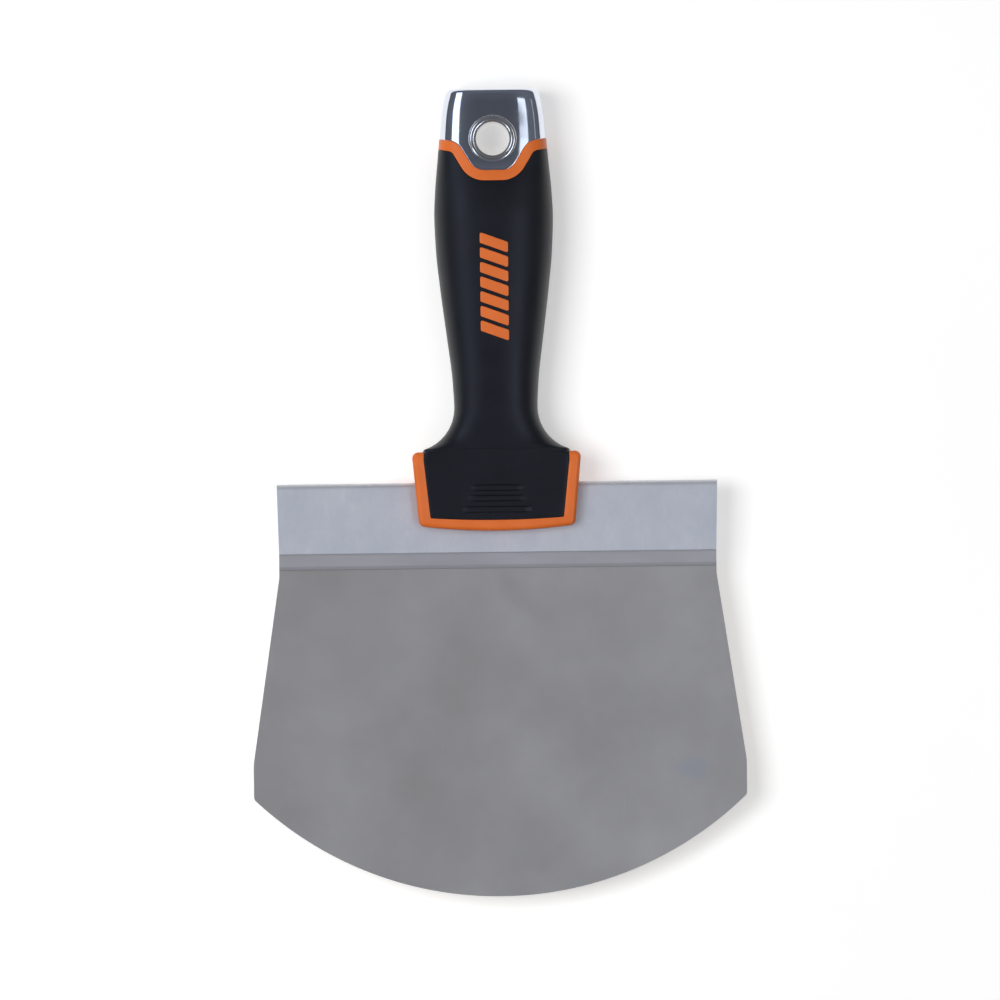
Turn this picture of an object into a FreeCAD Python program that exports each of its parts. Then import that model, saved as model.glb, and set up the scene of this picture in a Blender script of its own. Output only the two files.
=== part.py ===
"""Flexible putty knife: a thin flared blade in an aluminium holder, on a two-colour handle with a metal cap.

The knife lies on its back face. +X is to the right, +Y runs from the blade to the end cap, and +Z is up,
square to the blade. The origin is under the middle of the knife, on the surface that it lies on.
Units are millimetres. Places along the knife are given as a distance from the tip of the blade.
"""

import FreeCAD
import Part
import math
import os

V = FreeCAD.Vector

# ---- the whole knife
LENGTH = 245.5  # tip of the blade to the end of the cap
GRIP_THICK = 25.0  # the handle at its fullest
Z_MID = GRIP_THICK / 2  # the plane through the middle of the handle
BIG = 400.0  # longer than anything, for cutting tools

# ---- blade and the leaf in front of it
BLADE_W = 150.0  # at the shoulders
BLADE_T = 0.4
EDGE_R = 108.0  # the round working edge
CORNER_R = 1.8
SHOULDER = 40.9  # where the straight sides start to narrow
SHOULDER_R = 18.0
NECK = 97.7  # where they end, at the width of the holder
NECK_R = 6.0
LEAF_T = 0.6
LEAF_END = 99.9  # the leaf's free edge
BLADE_TOP = 123.0
GAP = 0.02  # the blade's clearance to its neighbours, on each face
HOLE_GAP = 0.1  # and round the rivets

# ---- aluminium holder
HOLDER_LOW = 104.7
HOLDER_HIGH = 126.0
HOLDER_T = 4.0
HOLDER_TOP_W = 134.0
HOLDER_LOW_W = 133.0
HOLDER_BACK_R = 1.9
HOLDER_LIP = 0.3  # chamfer on the lower edges
SLIT_T = LEAF_T + BLADE_T + 2 * GAP
SLIT_END = BLADE_TOP + 0.3

# ---- rivets, in one row under the collar
RIVET_ROW = 119.5
BLADE_RIVET_X = 18.0
BLADE_RIVET_R = 1.5
TANG_RIVET_X = 7.0
TANG_RIVET_R = 1.75
RIVET_HEAD = 1.75  # head radius over shank radius
RIVET_HEAD_H = 1.1
RIVET_FLAT = 0.35  # share of the head that is flat
RIVET_BULGE = (0.86, 0.62)  # a point on the head's rounding, as shares of its radius and height

# ---- steel tang
TANG_T = 2.0
FOOT_W = 26.0
FOOT_LOW = 115.0
FOOT_HIGH = 129.0
SHANK_W = 13.0
SHANK_START = 138.0
EYE_W = 19.0
EYE_START = 216.0
FOOT_GAP = 1.0  # the blade's and the leaf's clearance round the foot

# ---- handle: the grip's outer form, as (place, half width, half thickness, squareness) of a superellipse
CAP_HALF_T = 9.6
SECTIONS = [
    (LENGTH, 13.90, CAP_HALF_T - 0.35, 3.6),
    (241.5, 15.00, CAP_HALF_T - 0.05, 3.5),
    (237.3, 15.70, CAP_HALF_T, 3.4),
    (230.6, 16.27, CAP_HALF_T, 3.3),
    (223.5, 16.90, 10.1, 3.0),
    (215.0, 17.68, 11.6, 2.6),
    (206.9, 18.06, Z_MID - 0.11, 2.4),
    (197.0, 17.70, Z_MID - 0.11, 2.35),
    (185.0, 16.53, 11.8, 2.35),
    (170.0, 14.65, 10.9, 2.4),
    (157.0, 13.11, 10.1, 2.5),
]
# the neck runs out to the shoulders on an arc
NECK_HALF_W = 12.70
NECK_HALF_T = 9.6
NECK_SQUARE = 2.6
SHOULDER_TOP = 148.8  # where the arc starts
SHOULDER_ARC_R = 13.3
SHOULDER_TURN = 78.0  # degrees
SHOULDER_STEPS = 6
SHOULDER_HALF_T = 7.9
SHOULDER_SQUARE = 5.0
SECTION_POINTS = 40
SKIN = 2.4  # soft skin over the core
CAP_WALL = 1.3
SPIGOT_FROM = 214.0  # the core's spigot is drawn through the sections past this place
CORE_TO = 226.0  # and the core under the grip through the ones before this
NECK_ROOT = 3.5  # how far the neck runs down into the collar block

# ---- the line where the cap meets the orange band: flat in the middle, then up and out to the sides
WAVE_LOW = 220.75
WAVE_FLAT = 2.6
WAVE_R_IN = 5.0
WAVE_ANGLE = 59.0
WAVE_RUN = 4.7
WAVE_R_OUT = 5.5
WAVE_END_ANGLE = 10.0
BAND = 3.15  # width of the orange band below it

# ---- collar: the frame round the panel, seen from the front
COLLAR_TOP = 135.3
COLLAR_TOP_HALF_W = 25.8
COLLAR_LOW = 112.8  # at the corners
COLLAR_LOW_HALF_W = 23.7
COLLAR_SAG = 1.6  # the lower edge bows this much further down
COLLAR_TOP_HALF_T = 7.5
COLLAR_LOW_HALF_T = 6.5
COLLAR_EDGE_R = 1.4
COLLAR_CORNER_R = 1.8
PANEL_TOP_HALF_W = 22.5
PANEL_LOW = 115.2
PANEL_LOW_HALF_W = 20.3
PANEL_SAG = 0.7
PANEL_TOP = 136.6
PANEL_DEPTH = 1.3  # how deep the soft skin is let into the collar
PANEL_PROUD = 0.35  # how far it stands out of the collar
PANEL_EDGE_R = 0.3

# ---- thumb ribs on the panel: (place, half width)
RIBS = [(124.3, 7.0), (121.1, 8.5), (117.7, 9.9)]
RIB_W = 1.9
RIB_H = 0.45

# ---- marks on the front of the grip, a row of slanted bars
MARKS = 7
MARK_PITCH = 4.45
MARK_W = 3.3  # along the knife
MARK_HALF_W = 4.3
MARK_SLANT = 20.0  # degrees, the right end nearer to the blade
MARK_CORNER_R = 0.5
MARK_MIDDLE = 185.4
MARK_ROOT = 1.0  # the bars start this far in front of the middle plane

# ---- eyelet
EYE_AT = 230.3
EYE_BORE_R = 5.05
EYE_TUBE_R = 5.7
EYE_RIM_R = 7.4
EYE_RIM_H = 1.0
EYE_SEAT = CAP_HALF_T - 0.25  # the rim sits this far from the middle plane
CAP_EDGE_R = 1.2


def at(x, along, z=0.0):
    """The point x to the right, along from the tip and z in front of the handle's middle plane."""
    return V(x, along - LENGTH / 2, Z_MID + z)


def line(a, b):
    return Part.LineSegment(a, b).toShape()


def arc(a, through, b):
    return Part.Arc(a, through, b).toShape()


def prism(edges, low, high):
    """A flat outline in the middle plane, raised from low to high, both from the middle plane."""
    face = Part.Face(Part.Wire(edges))
    face.translate(V(0, 0, low))
    return face.extrude(V(0, 0, high - low))


def polygon(points):
    ring = [at(x, along) for x, along in points]
    return [line(a, b) for a, b in zip(ring, ring[1:] + ring[:1])]


def disc(x, along, radius, low, high):
    return Part.makeCylinder(radius, high - low, at(x, along, low))


def upright_edges(solid, along_low, along_high):
    """The straight edges parallel to Z whose place lies between two others."""
    chosen = []
    for edge in solid.Edges:
        a, b = edge.Vertexes[0].Point, edge.Vertexes[-1].Point
        place = a.y + LENGTH / 2
        if abs(a.x - b.x) + abs(a.y - b.y) < 1e-6 < abs(a.z - b.z) and along_low < place < along_high:
            chosen.append(edge)
    return chosen


# ---------------------------------------------------------------- blade, leaf and holder


def rivet_holes(x, radius):
    """A pair of cutting tools, one on each side of the middle."""
    return [disc(side * x, RIVET_ROW, radius, -BIG / 2, BIG / 2) for side in (-1, 1)]


def foot_notch():
    """Room for the tang's foot in the top of the blade and the leaf."""
    half, low = FOOT_W / 2 + FOOT_GAP, FOOT_LOW - FOOT_GAP
    return prism(polygon([(-half, low), (half, low), (half, BIG), (-half, BIG)]), -BIG / 2, BIG / 2)


def make_blade():
    half = BLADE_W / 2
    corner = EDGE_R - math.sqrt(EDGE_R**2 - half**2)
    neck_half = HOLDER_LOW_W / 2
    edges = [
        arc(at(-half, corner), at(0, 0), at(half, corner)),
        line(at(half, corner), at(half, SHOULDER)),
        line(at(half, SHOULDER), at(neck_half, NECK)),
        line(at(neck_half, NECK), at(neck_half, BLADE_TOP)),
        line(at(neck_half, BLADE_TOP), at(-neck_half, BLADE_TOP)),
        line(at(-neck_half, BLADE_TOP), at(-neck_half, NECK)),
        line(at(-neck_half, NECK), at(-half, SHOULDER)),
        line(at(-half, SHOULDER), at(-half, corner)),
    ]
    low = -SLIT_T / 2 + GAP
    blade = prism(edges, low, low + BLADE_T)
    for place, radius in ((corner, CORNER_R), (SHOULDER, SHOULDER_R), (NECK, NECK_R)):
        blade = blade.makeFillet(radius, upright_edges(blade, place - 0.1, place + 0.1))
    return blade.cut([foot_notch()] + rivet_holes(BLADE_RIVET_X, BLADE_RIVET_R + HOLE_GAP))


def make_leaf():
    low_half = HOLDER_LOW_W / 2
    outline = [(-low_half, LEAF_END), (low_half, LEAF_END), (low_half, BLADE_TOP), (-low_half, BLADE_TOP)]
    leaf = prism(polygon(outline), SLIT_T / 2 - LEAF_T, SLIT_T / 2)
    return leaf.cut([foot_notch()] + rivet_holes(BLADE_RIVET_X, BLADE_RIVET_R))


def make_bar():
    """The holder's solid bar, before the slit and the holes."""
    low, high = HOLDER_LOW_W / 2, HOLDER_TOP_W / 2
    outline = [(-low, HOLDER_LOW), (low, HOLDER_LOW), (high, HOLDER_HIGH), (-high, HOLDER_HIGH)]
    bar = prism(polygon(outline), -HOLDER_T / 2, HOLDER_T / 2)

    def long_edges(place):
        return [e for e in bar.Edges if all(abs(v.Point.y + LENGTH / 2 - place) < 1e-6 for v in e.Vertexes)
                and e.Length > 2 * HOLDER_T]

    bar = bar.makeFillet(HOLDER_BACK_R, long_edges(HOLDER_HIGH))
    return bar.makeChamfer(HOLDER_LIP, long_edges(HOLDER_LOW))


def make_holder():
    slit = Part.makeBox(BIG, SLIT_END, SLIT_T, at(-BIG / 2, 0, -SLIT_T / 2))
    pocket = Part.makeBox(FOOT_W, BIG, TANG_T, at(-FOOT_W / 2, FOOT_LOW, -TANG_T / 2))
    holes = rivet_holes(BLADE_RIVET_X, BLADE_RIVET_R) + rivet_holes(TANG_RIVET_X, TANG_RIVET_R)
    return make_bar().cut([slit, pocket] + holes)


def make_rivet(x, radius):
    """A shank through the holder with a rounded head on each face, flat at its crown."""
    face = HOLDER_T / 2
    crown = face + RIVET_HEAD_H
    head_r = radius * RIVET_HEAD
    bulge = V(head_r * RIVET_BULGE[0], 0, face + RIVET_HEAD_H * RIVET_BULGE[1])
    half = [
        line(V(0, 0, 0), V(0, 0, crown)),
        line(V(0, 0, crown), V(head_r * RIVET_FLAT, 0, crown)),
        arc(V(head_r * RIVET_FLAT, 0, crown), bulge, V(head_r, 0, face)),
        line(V(head_r, 0, face), V(radius, 0, face)),
        line(V(radius, 0, face), V(radius, 0, 0)),
        line(V(radius, 0, 0), V(0, 0, 0)),
    ]
    upper = Part.Face(Part.Wire(half)).revolve(V(0, 0, 0), V(0, 0, 1), 360)
    rivet = upper.fuse(upper.mirror(V(0, 0, 0), V(0, 0, 1))).removeSplitter()
    rivet.translate(at(x, RIVET_ROW))
    return rivet


def make_rivets(x, radius):
    return Part.makeCompound([make_rivet(side * x, radius) for side in (-1, 1)])


# ---------------------------------------------------------------- tang


def make_tang():
    foot, shank, eye = FOOT_W / 2, SHANK_W / 2, EYE_W / 2
    end = LENGTH - CAP_WALL
    right = [
        (foot, FOOT_LOW),
        (foot, FOOT_HIGH),
        (shank, SHANK_START),
        (shank, EYE_START),
        (eye, EYE_START + eye - shank),
        (eye, end),
    ]
    left = [(-x, along) for x, along in reversed(right)]
    tang = prism(polygon(right + left), -TANG_T / 2, TANG_T / 2)
    holes = rivet_holes(TANG_RIVET_X, TANG_RIVET_R)
    return tang.cut(holes + [disc(0, EYE_AT, EYE_TUBE_R, -BIG / 2, BIG / 2)])


# ---------------------------------------------------------------- the handle's outer form


def shoulder_sections():
    """Sections along the arc from the neck out to the shoulders, evenly spaced round it."""
    rows = []
    for step in range(SHOULDER_STEPS + 1):
        share = step / SHOULDER_STEPS
        turn = math.radians(SHOULDER_TURN * share)
        rows.append(
            (
                SHOULDER_TOP - SHOULDER_ARC_R * math.sin(turn),
                NECK_HALF_W + SHOULDER_ARC_R * (1 - math.cos(turn)),
                NECK_HALF_T + (SHOULDER_HALF_T - NECK_HALF_T) * math.sin(turn),
                NECK_SQUARE + (SHOULDER_SQUARE - NECK_SQUARE) * share,
            )
        )
    return rows


def section_wire(row, inset):
    """A superellipse square to Y, drawn in from the outer form by inset."""
    along, half_w, half_t, square = row
    points = []
    for n in range(SECTION_POINTS):
        turn = 2 * math.pi * n / SECTION_POINTS
        c, s = math.cos(turn), math.sin(turn)
        reach = (abs(c) ** square + abs(s) ** square) ** (-1 / square)
        points.append(at(c * reach * (half_w - inset), along, s * reach * (half_t - inset)))
    steps = [float(n) for n in range(SECTION_POINTS + 1)]
    curve = Part.BSplineCurve()
    curve.interpolate(Points=points, PeriodicFlag=True, Parameters=steps)
    return Part.Wire([curve.toShape()])


def loft(rows, inset=0.0):
    return Part.makeLoft([section_wire(row, inset) for row in rows], True, False)


# ---------------------------------------------------------------- cutting tools in the front view


def wave_edges(drop):
    """The right half of the wave from the middle out, moved down square to itself by drop."""
    steep, gentle = math.radians(WAVE_ANGLE), math.radians(WAVE_END_ANGLE)
    r_in, r_out = WAVE_R_IN + drop, WAVE_R_OUT - drop
    x, along = WAVE_FLAT, WAVE_LOW - drop
    edges = [line(at(0, along), at(x, along))]

    def on_inner(turn):
        return at(WAVE_FLAT + r_in * math.sin(turn), WAVE_LOW - drop + r_in * (1 - math.cos(turn)))

    edges.append(arc(on_inner(0), on_inner(steep / 2), on_inner(steep)))
    start = on_inner(steep)
    end = start + V(math.cos(steep), math.sin(steep), 0) * WAVE_RUN
    edges.append(line(start, end))
    centre = end + V(math.sin(steep), -math.cos(steep), 0) * r_out

    def on_outer(turn):
        return centre + V(-math.sin(turn), math.cos(turn), 0) * r_out

    edges.append(arc(end, on_outer((steep + gentle) / 2), on_outer(gentle)))
    last = on_outer(gentle)
    reach = BIG / 4
    edges.append(line(last, last + V(reach, reach * math.tan(gentle), 0)))
    return edges


def below_wave(drop):
    """Everything on the blade's side of the wave."""
    right = wave_edges(drop)
    left = [e.mirror(at(0, 0), V(1, 0, 0)) for e in right]
    corner = right[-1].Vertexes[-1].Point
    if corner.x < 1:
        corner = right[-1].Vertexes[0].Point
    low = at(0, -BIG).y
    ends = [
        line(corner, V(corner.x, low, Z_MID)),
        line(V(corner.x, low, Z_MID), V(-corner.x, low, Z_MID)),
        line(V(-corner.x, low, Z_MID), V(-corner.x, corner.y, Z_MID)),
    ]
    return prism(Part.sortEdges(right + left + ends)[0], -BIG / 4, BIG / 4)


def below_neck():
    """Everything on the blade's side of the neck, where the collar ends and the core starts."""
    return Part.makeBox(BIG, BIG, BIG, at(-BIG / 2, SHOULDER_TOP - BIG, -BIG / 2))


def bowed_outline(top, top_half, low, low_half, sag):
    """A trapezium whose lower edge bows down by sag."""
    return [
        arc(at(-low_half, low), at(0, low - sag), at(low_half, low)),
        line(at(low_half, low), at(top_half, top)),
        line(at(top_half, top), at(-top_half, top)),
        line(at(-top_half, top), at(-low_half, low)),
    ]


def wedge(inset):
    """The collar's side view, thinner towards the blade, drawn in by inset, and longer at both ends."""
    top, low = COLLAR_TOP, COLLAR_LOW
    reach = top - low
    slope = (COLLAR_TOP_HALF_T - COLLAR_LOW_HALF_T) / (top - low)
    high_t = COLLAR_TOP_HALF_T + slope * reach - inset
    low_t = COLLAR_LOW_HALF_T - slope * reach - inset
    x = -BIG / 4
    ring = [
        at(x, low - reach, -low_t),
        at(x, low - reach, low_t),
        at(x, top + reach, high_t),
        at(x, top + reach, -high_t),
    ]
    face = Part.Face(Part.makePolygon(ring + ring[:1]))
    return face.extrude(V(BIG / 2, 0, 0))


# ---------------------------------------------------------------- core, grip, cap and eyelet


def collar_block():
    """The collar's rigid block with a shallow recess for the soft panel on each face."""
    outline = bowed_outline(COLLAR_TOP, COLLAR_TOP_HALF_W, COLLAR_LOW, COLLAR_LOW_HALF_W, COLLAR_SAG)
    block = prism(outline, -BIG / 8, BIG / 8)
    block = block.makeFillet(COLLAR_CORNER_R, upright_edges(block, COLLAR_LOW - 1, COLLAR_TOP + 1))
    block = block.common(wedge(0))
    faces = [f for f in block.Faces if abs(f.normalAt(0.5, 0.5).z) > 0.9]
    rim = [e for f in faces for e in f.Edges]
    block = block.makeFillet(COLLAR_EDGE_R, rim)
    recess = panel_prism(COLLAR_TOP + COLLAR_EDGE_R).cut(wedge(PANEL_DEPTH))
    return block.cut(recess)


def panel_half_w(along):
    share = (along - PANEL_LOW) / (COLLAR_TOP - PANEL_LOW)
    return PANEL_LOW_HALF_W + (PANEL_TOP_HALF_W - PANEL_LOW_HALF_W) * share


def panel_prism(top):
    """The panel's front view up to a place along the knife, through the whole thickness."""
    outline = bowed_outline(top, panel_half_w(top), PANEL_LOW, PANEL_LOW_HALF_W, PANEL_SAG)
    return prism(outline, -BIG / 8, BIG / 8)


def make_panel():
    """The flat panel in the collar, which runs up into the shoulders, with softened edges on its faces."""
    panel = panel_prism(PANEL_TOP).common(wedge(-PANEL_PROUD))
    faces = [f for f in panel.Faces if abs(f.normalAt(0.5, 0.5).z) > 0.9]
    edges = [e for f in faces for e in f.Edges if e.CenterOfMass.y < at(0, PANEL_TOP - PANEL_EDGE_R).y]
    return panel.makeFillet(PANEL_EDGE_R, edges)


def grip_region():
    """The front view of the soft skin: the panel inside the collar, and all of the handle up to the band."""
    top_half = panel_half_w(PANEL_TOP)
    wide = BIG / 8
    outline = [
        arc(at(-PANEL_LOW_HALF_W, PANEL_LOW), at(0, PANEL_LOW - PANEL_SAG), at(PANEL_LOW_HALF_W, PANEL_LOW)),
        line(at(PANEL_LOW_HALF_W, PANEL_LOW), at(top_half, PANEL_TOP)),
        line(at(top_half, PANEL_TOP), at(wide, PANEL_TOP)),
        line(at(wide, PANEL_TOP), at(wide, LENGTH + 1)),
        line(at(wide, LENGTH + 1), at(-wide, LENGTH + 1)),
        line(at(-wide, LENGTH + 1), at(-wide, PANEL_TOP)),
        line(at(-wide, PANEL_TOP), at(-top_half, PANEL_TOP)),
        line(at(-top_half, PANEL_TOP), at(-PANEL_LOW_HALF_W, PANEL_LOW)),
    ]
    return prism(outline, -BIG / 8, BIG / 8).common(below_wave(BAND))


def round_bar(half_w, along, width, low, high):
    """A bar across the handle with round ends."""
    r = width / 2
    x = half_w - r
    edges = [
        line(at(-x, along - r), at(x, along - r)),
        arc(at(x, along - r), at(half_w, along), at(x, along + r)),
        line(at(x, along + r), at(-x, along + r)),
        arc(at(-x, along + r), at(-half_w, along), at(-x, along - r)),
    ]
    return prism(edges, low, high)


def mark_bars():
    """Slanted bars with rounded corners, on the front only."""
    drop = MARK_HALF_W * math.tan(math.radians(MARK_SLANT))
    bars = []
    for n in range(MARKS):
        middle = MARK_MIDDLE + (n - (MARKS - 1) / 2) * MARK_PITCH
        low, high = middle - MARK_W / 2, middle + MARK_W / 2
        outline = [(-MARK_HALF_W, low + drop), (MARK_HALF_W, low - drop)]
        outline += [(MARK_HALF_W, high - drop), (-MARK_HALF_W, high + drop)]
        bar = prism(polygon(outline), MARK_ROOT, BIG / 8)
        bars.append(bar.makeFillet(MARK_CORNER_R, upright_edges(bar, 0, LENGTH)))
    return bars


def make_ribs():
    """Thumb ribs on both faces, raised from the panel's own surface."""
    raised = wedge(-PANEL_PROUD - RIB_H)
    bars = [round_bar(half_w, along, RIB_W, -BIG / 8, BIG / 8) for along, half_w in RIBS]
    return [raised.common(bar) for bar in bars]


def make_spigot():
    """The end of the core that fills the cap."""
    rows = [row for row in SECTIONS if row[0] > SPIGOT_FROM]
    spigot = loft(rows, CAP_WALL)
    end = LENGTH - CAP_WALL
    return spigot.common(Part.makeBox(BIG, BIG, BIG, at(-BIG / 2, end - BIG, -BIG / 2)))


def make_cap(outer):
    """A closed metal cap with a rounded end, over the core's spigot."""
    end_face = [f for f in outer.Faces if f.CenterOfMass.y > LENGTH / 2 - 0.01][0]
    rounded = outer.makeFillet(CAP_EDGE_R, end_face.Edges)
    return rounded.cut([below_wave(0), make_spigot()])


def make_eyelet():
    """A tube with a rolled rim on each face of the cap."""
    seat, crest = EYE_SEAT, (EYE_BORE_R + EYE_RIM_R) / 2
    top = seat + EYE_RIM_H
    side = [
        line(V(EYE_BORE_R, 0, -seat), V(EYE_BORE_R, 0, seat)),
        arc(V(EYE_BORE_R, 0, seat), V(crest, 0, top), V(EYE_RIM_R, 0, seat)),
        line(V(EYE_RIM_R, 0, seat), V(EYE_TUBE_R, 0, seat)),
        line(V(EYE_TUBE_R, 0, seat), V(EYE_TUBE_R, 0, -seat)),
        line(V(EYE_TUBE_R, 0, -seat), V(EYE_RIM_R, 0, -seat)),
        arc(V(EYE_RIM_R, 0, -seat), V(crest, 0, -top), V(EYE_BORE_R, 0, -seat)),
    ]
    eyelet = Part.Face(Part.Wire(side)).revolve(V(0, 0, 0), V(0, 0, 1), 360)
    eyelet.translate(at(0, EYE_AT))
    return eyelet


def main():
    os.makedirs("parts", exist_ok=True)
    blade, leaf, holder, tang = make_blade(), make_leaf(), make_holder(), make_tang()
    blade_rivets = make_rivets(BLADE_RIVET_X, BLADE_RIVET_R)
    tang_rivets = make_rivets(TANG_RIVET_X, TANG_RIVET_R)
    eyelet = make_eyelet()

    handle_rows = SECTIONS + shoulder_sections()
    outer = loft(handle_rows)
    marks = mark_bars()
    band = outer.common(below_wave(0)).cut(below_wave(BAND))
    root = handle_rows[-1]
    inner_rows = [row for row in handle_rows if row[0] < CORE_TO] + [(root[0] - NECK_ROOT, *root[1:])]
    core = loft(inner_rows, SKIN).fuse([band, make_spigot(), collar_block()]).removeSplitter()
    islands = [outer.common(bar) for bar in marks]
    skin = outer.fuse([make_panel()] + make_ribs())
    grip = skin.common(grip_region()).cut([core] + marks)
    core = core.fuse(islands)
    bore = disc(0, EYE_AT, EYE_TUBE_R, -BIG / 2, BIG / 2)
    core = core.cut([tang, make_bar(), bore] + blade_rivets.Solids + tang_rivets.Solids)
    collar, core = core.common(below_neck()), core.cut(below_neck())
    cap = make_cap(outer).cut([bore, eyelet])

    nodes = {
        "blade": blade,
        "stiffener_leaf": leaf,
        "blade_holder": holder,
        "blade_rivets": blade_rivets,
        "tang_rivets": tang_rivets,
        "tang": tang,
        "collar": collar,
        "handle_core": core,
        "grip": grip,
        "end_cap": cap,
        "eyelet": eyelet,
    }
    for name, shape in nodes.items():
        shape.exportStep(f"parts/{name}.step")
        box = shape.optimalBoundingBox()
        print(f"{name}: {len(shape.Solids)} solid, {shape.Volume:.0f} mm3, valid {shape.isValid()}, "
              f"z {box.ZMin:.2f} to {box.ZMax:.2f}")


main()
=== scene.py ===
import math

import bmesh
import bpy
import numpy as np
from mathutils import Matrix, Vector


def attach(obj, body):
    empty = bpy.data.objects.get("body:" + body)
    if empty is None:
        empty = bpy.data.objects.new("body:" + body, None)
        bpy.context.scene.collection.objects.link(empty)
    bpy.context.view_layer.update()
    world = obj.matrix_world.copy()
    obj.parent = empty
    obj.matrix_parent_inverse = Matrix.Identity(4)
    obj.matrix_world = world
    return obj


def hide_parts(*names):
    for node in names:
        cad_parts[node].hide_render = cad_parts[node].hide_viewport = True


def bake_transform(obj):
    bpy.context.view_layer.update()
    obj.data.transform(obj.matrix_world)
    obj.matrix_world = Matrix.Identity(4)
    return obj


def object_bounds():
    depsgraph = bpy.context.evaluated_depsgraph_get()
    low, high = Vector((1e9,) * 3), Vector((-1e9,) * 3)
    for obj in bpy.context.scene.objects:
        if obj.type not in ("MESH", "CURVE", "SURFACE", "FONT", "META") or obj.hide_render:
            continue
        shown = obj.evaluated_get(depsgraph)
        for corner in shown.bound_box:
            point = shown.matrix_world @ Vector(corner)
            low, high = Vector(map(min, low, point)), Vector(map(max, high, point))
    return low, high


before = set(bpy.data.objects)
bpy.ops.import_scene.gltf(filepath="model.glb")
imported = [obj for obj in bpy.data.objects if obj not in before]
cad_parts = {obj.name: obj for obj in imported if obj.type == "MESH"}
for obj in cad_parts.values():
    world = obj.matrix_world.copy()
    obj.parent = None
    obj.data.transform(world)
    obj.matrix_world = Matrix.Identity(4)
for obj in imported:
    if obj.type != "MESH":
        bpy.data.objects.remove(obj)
cad_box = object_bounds()

# The looks of a flexible putty knife that lies on its back on a pale floor, seen straight from above.
#
# Sizes are in millimetres and are turned into metres as each mesh is made. As in the CAD model, a place
# along the knife is its distance from the tip of the blade, and heights are taken from the plane through the
# middle of the handle.

MM = 0.001
TIP = cad_box[0].y / MM  # the blade's tip in the frame
LENGTH = (cad_box[1].y - cad_box[0].y) / MM
Z_MID = (cad_box[0].z + cad_box[1].z) / 2 / MM

# ---- handle: (place, half width, half thickness, squareness) of superellipse sections, cap end first
CAP_HALF_T = 9.6
FULL_HALF_T = Z_MID - 0.11
SECTIONS = [
    (LENGTH, 13.90, CAP_HALF_T - 0.35, 3.6),
    (241.5, 15.00, CAP_HALF_T, 3.5),
    (237.3, 15.70, CAP_HALF_T, 3.4),
    (230.6, 16.27, CAP_HALF_T + 0.05, 3.3),
    (223.5, 16.90, 10.1, 3.0),
    (215.0, 17.68, 11.6, 2.6),
    (206.9, 18.06, FULL_HALF_T, 2.4),
    (197.0, 17.70, FULL_HALF_T, 2.35),
    (185.0, 16.53, 11.8, 2.35),
    (170.0, 14.65, 10.9, 2.4),
    (157.0, 13.11, 10.1, 2.5),
    (148.8, 12.70, 9.6, 2.6),
]
COLUMNS = 240  # points round a section
UPPER_FROM = 204.0  # the rings of grip, band and cap that follow the wave are worked out from here
SQUARE_ON = 206.0  # the grip's rings lie square to the knife below here
TUCK = 2.0  # how far the rim of grip and cap turns in under its neighbour
GRIP_RIM_R = 0.22

# the neck runs out to the shoulders on an arc, which ends in a small corner beside the panel
SHOULDER_ARC_R = 13.3
SHOULDER_HALF_T = 7.9
SHOULDER_SQUARE = 9.0
SHOULDER_EVEN = 0.1  # this share of the squaring comes evenly along the arc
SHOULDER_LATE = 7  # and the rest with this power
SHOULDER_GAP = 0.75  # the arc stops this far from the panel's side
SHOULDER_CORNER_R = 0.8
SHOULDER_CORNER_END = math.radians(174.0)

# ---- the line where the cap meets the orange band: flat in the middle, then up and out to the sides
WAVE_LOW = 220.75
WAVE_FLAT = 2.6
WAVE_R_IN = 5.0
WAVE_ANGLE = math.radians(59.0)
WAVE_RUN = 4.7
WAVE_R_OUT = 5.5
WAVE_END_ANGLE = math.radians(10.0)
BAND = 3.15  # width of the orange band below it
BAND_TUCK = 2.5
BAND_RIM_R = 0.2

# ---- collar and the panel in it
COLLAR_TOP = 135.3
COLLAR_TOP_HALF_W = 25.8
COLLAR_LOW = 112.8  # at the corners
COLLAR_LOW_HALF_W = 23.7
COLLAR_SAG = 1.6  # the lower edge bows this much further down
COLLAR_SAG_FADE = 6  # power with which the bow fades towards the top
COLLAR_TOP_HALF_T = 7.5
COLLAR_LOW_HALF_T = 6.5
COLLAR_EDGE_R = 1.4
COLLAR_CORNER_R = 1.8
COLLAR_LEAST_R = 0.3
COLLAR_SIDE_POINTS = 24
COLLAR_LIP = [(4.3, 1.0), (4.2, 0.2), (4.0, 0.0)]  # (inset, depth) of the face where it dips under the panel
PANEL_TOP_HALF_W = 22.5
PANEL_LOW = 115.2
PANEL_LOW_HALF_W = 20.3
PANEL_SAG = 0.7
PANEL_PROUD = 0.35  # how far it stands out of the collar
PANEL_SQUARE = 44.0
PANEL_SQUARED_IN = 2.5  # from the shoulders' squareness to its own
PANEL_FADE_LOW = 3.0  # its thickness runs evenly from this far below the collar
PANEL_FADE_HIGH = 0.5  # to this far above it
PANEL_START = 0.15  # below the shoulders' last ring
PANEL_ROWS = 130
PANEL_EDGE_R = 0.35
RIBS = [(124.3, 7.0), (121.1, 8.5), (117.7, 9.9)]  # (place, half width)
RIB_W = 1.9
RIB_H = 0.45
RIB_FLAT = 1.4  # over 1, so that the crown is cut off flat
RIB_POWER = 4
RIB_FACE = 4.0  # ribs rise only where the panel is at least this far from the middle plane

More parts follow.
